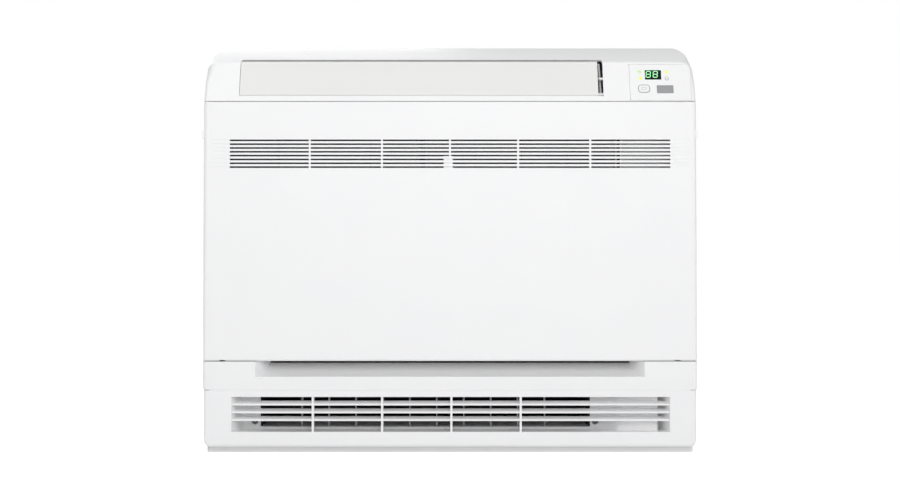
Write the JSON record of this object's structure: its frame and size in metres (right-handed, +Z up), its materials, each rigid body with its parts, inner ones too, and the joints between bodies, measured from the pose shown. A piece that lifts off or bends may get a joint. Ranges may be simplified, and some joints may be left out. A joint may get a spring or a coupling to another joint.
{
  "type": "floor console air conditioner",
  "caption": "White floor-standing air conditioner with a hinged front panel, an upper air vane, a louvred lower outlet, and inner fan, coil, ducts, filters and controls.",
  "frame": {"origin": "middle of the foot's underside, on the floor", "axes": "+X to the right as seen by someone facing the front, -Y out of the front, +Z up"},
  "size_m": [0.704, 0.21, 0.6],
  "materials": {
    "white_shell": "fine matte moulded",
    "vane_shell": "fine matte moulded, a little warmer",
    "fin_plastic": "moulded",
    "foot_plastic": "moulded",
    "damper_plastic": "moulded",
    "inner_white": "moulded",
    "filter_plastic": "moulded open grid",
    "link_plastic": "moulded",
    "fan_plastic": "moulded",
    "motor_paint": "satin paint",
    "terminal_plastic": "moulded",
    "smoked_window": "polished",
    "receiver_lens": "fine frosted",
    "light_guide": "frosted",
    "foam": "beaded foam",
    "zinc_steel": "zinc coated",
    "screw_steel": "zinc coated",
    "fin_aluminium": "thin rolled sheet",
    "pipe_copper": "drawn copper",
    "circuit_laminate": "lacquered laminate"
  },
  "bodies": {
    "cabinet": {"base_foot": "foot_plastic", "cabinet_frame": "white_shell", "coil_plate_left": "zinc_steel", "coil_plate_right": "zinc_steel", "control_board": "circuit_laminate", "control_box": "zinc_steel", "control_cover": "inner_white", "cover_screw_left": "screw_steel", "cover_screw_right": "screw_steel", "damper_motor": "zinc_steel", "display_board": "circuit_laminate", "display_insert": "white_shell", "display_window": "smoked_window", "drain_pan": "inner_white", "evaporator_coil": "fin_aluminium", "fan_casing": "foam", "fan_motor": "motor_paint", "fan_orifice": "inner_white", "gas_pipe": "pipe_copper", "led_light_guide": "light_guide", "liquid_pipe": "pipe_copper", "lower_cover": "white_shell", "lower_duct": "inner_white", "motor_mount": "zinc_steel", "rear_base": "white_shell", "receiver_window": "receiver_lens", "terminal_block": "terminal_plastic", "top_cap": "white_shell", "upper_duct": "inner_white", "vane_motor": "zinc_steel", "wall_bracket": "zinc_steel"},
    "panel": {"front_panel": "white_shell"},
    "vane": {"upper_vane": "vane_shell"},
    "damper": {"lower_damper": "damper_plastic"},
    "fan": {"turbo_fan": "fan_plastic", "motor_shaft": "zinc_steel", "fan_nut": "zinc_steel"},
    "left_filter": {"filter_left": "filter_plastic"},
    "right_filter": {"filter_right": "filter_plastic"},
    "button": {"on_off_button": "white_shell"},
    "lower_link": {"lower_fin_link": "link_plastic"},
    "upper_link": {"upper_fin_link": "link_plastic"},
    "body_lower_fin_01": {"lower_fin_01": "fin_plastic"},
    "body_lower_fin_02": {"lower_fin_02": "fin_plastic"},
    "body_lower_fin_03": {"lower_fin_03": "fin_plastic"},
    "body_lower_fin_04": {"lower_fin_04": "fin_plastic"},
    "body_lower_fin_05": {"lower_fin_05": "fin_plastic"},
    "body_lower_fin_06": {"lower_fin_06": "fin_plastic"},
    "body_lower_fin_07": {"lower_fin_07": "fin_plastic"},
    "body_lower_fin_08": {"lower_fin_08": "fin_plastic"},
    "body_lower_fin_09": {"lower_fin_09": "fin_plastic"},
    "body_lower_fin_10": {"lower_fin_10": "fin_plastic"},
    "body_upper_fin_01": {"upper_fin_01": "fin_plastic"},
    "body_upper_fin_02": {"upper_fin_02": "fin_plastic"},
    "body_upper_fin_03": {"upper_fin_03": "fin_plastic"},
    "body_upper_fin_04": {"upper_fin_04": "fin_plastic"},
    "body_upper_fin_05": {"upper_fin_05": "fin_plastic"},
    "body_upper_fin_06": {"upper_fin_06": "fin_plastic"},
    "body_upper_fin_07": {"upper_fin_07": "fin_plastic"},
    "body_upper_fin_08": {"upper_fin_08": "fin_plastic"}
  },
  "joints": [
    {"name": "panel_hinge", "type": "hinge", "parent": "cabinet", "child": "panel", "pos_m": [0, -0.1011, 0.1335], "axis": [1, 0, 0], "range_deg": [0, 70]},
    {"name": "vane_hinge", "type": "hinge", "parent": "cabinet", "child": "vane", "pos_m": [0, -0.08651, 0.50845], "axis": [1, 0, 0], "range_deg": [0, 65]},
    {"name": "damper_hinge", "type": "hinge", "parent": "cabinet", "child": "damper", "pos_m": [0, -0.025, 0.0565], "axis": [1, 0, 0], "range_deg": [0, 78]},
    {"name": "fan_spin", "type": "hinge", "parent": "cabinet", "child": "fan", "pos_m": [-0.036, -0.012, 0.3], "axis": [0, 1, 0], "continuous": true},
    {"name": "left_filter_lift", "type": "slide", "parent": "cabinet", "child": "left_filter", "axis": [0, 0, 1], "range_m": [0, 0.013]},
    {"name": "right_filter_lift", "type": "slide", "parent": "cabinet", "child": "right_filter", "axis": [0, 0, 1], "range_m": [0, 0.013]},
    {"name": "button_press", "type": "slide", "parent": "cabinet", "child": "button", "axis": [0, 0.9336, -0.3584], "range_m": [0, 0.001], "stiffness_N_per_m": 600},
    {"name": "lower_fin_01_turn", "type": "hinge", "parent": "cabinet", "child": "body_lower_fin_01", "pos_m": [-0.213, -0.059, 0.036], "axis": [0, 0, 1], "range_deg": [-35, 35]},
    {"name": "lower_fin_02_turn", "type": "hinge", "parent": "cabinet", "child": "body_lower_fin_02", "pos_m": [-0.1742, -0.059, 0.036], "axis": [0, 0, 1], "range_deg": [-35, 35]},
    {"name": "lower_fin_03_turn", "type": "hinge", "parent": "cabinet", "child": "body_lower_fin_03", "pos_m": [-0.1354, -0.059, 0.036], "axis": [0, 0, 1], "range_deg": [-35, 35]},
    {"name": "lower_fin_04_turn", "type": "hinge", "parent": "cabinet", "child": "body_lower_fin_04", "pos_m": [-0.0966, -0.059, 0.036], "axis": [0, 0, 1], "range_deg": [-35, 35]},
    {"name": "lower_fin_05_turn", "type": "hinge", "parent": "cabinet", "child": "body_lower_fin_05", "pos_m": [-0.0578, -0.059, 0.036], "axis": [0, 0, 1], "range_deg": [-35, 35]},
    {"name": "lower_fin_06_turn", "type": "hinge", "parent": "cabinet", "child": "body_lower_fin_06", "pos_m": [-0.019, -0.059, 0.036], "axis": [0, 0, 1], "range_deg": [-35, 35]},
    {"name": "lower_fin_07_turn", "type": "hinge", "parent": "cabinet", "child": "body_lower_fin_07", "pos_m": [0.0198, -0.059, 0.036], "axis": [0, 0, 1], "range_deg": [-35, 35]},
    {"name": "lower_fin_08_turn", "type": "hinge", "parent": "cabinet", "child": "body_lower_fin_08", "pos_m": [0.0586, -0.059, 0.036], "axis": [0, 0, 1], "range_deg": [-35, 35]},
    {"name": "lower_fin_09_turn", "type": "hinge", "parent": "cabinet", "child": "body_lower_fin_09", "pos_m": [0.0974, -0.059, 0.036], "axis": [0, 0, 1], "range_deg": [-35, 35]},
    {"name": "lower_fin_10_turn", "type": "hinge", "parent": "cabinet", "child": "body_lower_fin_10", "pos_m": [0.1362, -0.059, 0.036], "axis": [0, 0, 1], "range_deg": [-35, 35]},
    {"name": "lower_link_turn", "type": "hinge", "parent": "body_lower_fin_01", "child": "lower_link", "pos_m": [-0.213, -0.052, 0.036], "axis": [0, 0, 1], "range_deg": [-35, 35]},
    {"name": "upper_fin_01_turn", "type": "hinge", "parent": "cabinet", "child": "body_upper_fin_01", "pos_m": [-0.262, -0.029, 0.493], "axis": [0, 0, 1], "range_deg": [-35, 35]},
    {"name": "upper_fin_02_turn", "type": "hinge", "parent": "cabinet", "child": "body_upper_fin_02", "pos_m": [-0.199, -0.029, 0.493], "axis": [0, 0, 1], "range_deg": [-35, 35]},
    {"name": "upper_fin_03_turn", "type": "hinge", "parent": "cabinet", "child": "body_upper_fin_03", "pos_m": [-0.136, -0.029, 0.493], "axis": [0, 0, 1], "range_deg": [-35, 35]},
    {"name": "upper_fin_04_turn", "type": "hinge", "parent": "cabinet", "child": "body_upper_fin_04", "pos_m": [-0.073, -0.029, 0.493], "axis": [0, 0, 1], "range_deg": [-35, 35]},
    {"name": "upper_fin_05_turn", "type": "hinge", "parent": "cabinet", "child": "body_upper_fin_05", "pos_m": [-0.01, -0.029, 0.493], "axis": [0, 0, 1], "range_deg": [-35, 35]},
    {"name": "upper_fin_06_turn", "type": "hinge", "parent": "cabinet", "child": "body_upper_fin_06", "pos_m": [0.053, -0.029, 0.493], "axis": [0, 0, 1], "range_deg": [-35, 35]},
    {"name": "upper_fin_07_turn", "type": "hinge", "parent": "cabinet", "child": "body_upper_fin_07", "pos_m": [0.116, -0.029, 0.493], "axis": [0, 0, 1], "range_deg": [-35, 35]},
    {"name": "upper_fin_08_turn", "type": "hinge", "parent": "cabinet", "child": "body_upper_fin_08", "pos_m": [0.179, -0.029, 0.493], "axis": [0, 0, 1], "range_deg": [-35, 35]},
    {"name": "upper_link_turn", "type": "hinge", "parent": "body_upper_fin_01", "child": "upper_link", "pos_m": [-0.262, -0.022, 0.493], "axis": [0, 0, 1], "range_deg": [-35, 35]}
  ],
  "couplings": [
    {"joint": "lower_fin_02_turn", "follows": "lower_fin_01_turn", "ratio": 1},
    {"joint": "lower_fin_03_turn", "follows": "lower_fin_01_turn", "ratio": 1},
    {"joint": "lower_fin_04_turn", "follows": "lower_fin_01_turn", "ratio": 1},
    {"joint": "lower_fin_05_turn", "follows": "lower_fin_01_turn", "ratio": 1},
    {"joint": "lower_fin_06_turn", "follows": "lower_fin_01_turn", "ratio": 1},
    {"joint": "lower_fin_07_turn", "follows": "lower_fin_01_turn", "ratio": 1},
    {"joint": "lower_fin_08_turn", "follows": "lower_fin_01_turn", "ratio": 1},
    {"joint": "lower_fin_09_turn", "follows": "lower_fin_01_turn", "ratio": 1},
    {"joint": "lower_fin_10_turn", "follows": "lower_fin_01_turn", "ratio": 1},
    {"joint": "lower_link_turn", "follows": "lower_fin_01_turn", "ratio": -1},
    {"joint": "upper_fin_02_turn", "follows": "upper_fin_01_turn", "ratio": 1},
    {"joint": "upper_fin_03_turn", "follows": "upper_fin_01_turn", "ratio": 1},
    {"joint": "upper_fin_04_turn", "follows": "upper_fin_01_turn", "ratio": 1},
    {"joint": "upper_fin_05_turn", "follows": "upper_fin_01_turn", "ratio": 1},
    {"joint": "upper_fin_06_turn", "follows": "upper_fin_01_turn", "ratio": 1},
    {"joint": "upper_fin_07_turn", "follows": "upper_fin_01_turn", "ratio": 1},
    {"joint": "upper_fin_08_turn", "follows": "upper_fin_01_turn", "ratio": 1},
    {"joint": "upper_link_turn", "follows": "upper_fin_01_turn", "ratio": -1}
  ]
}
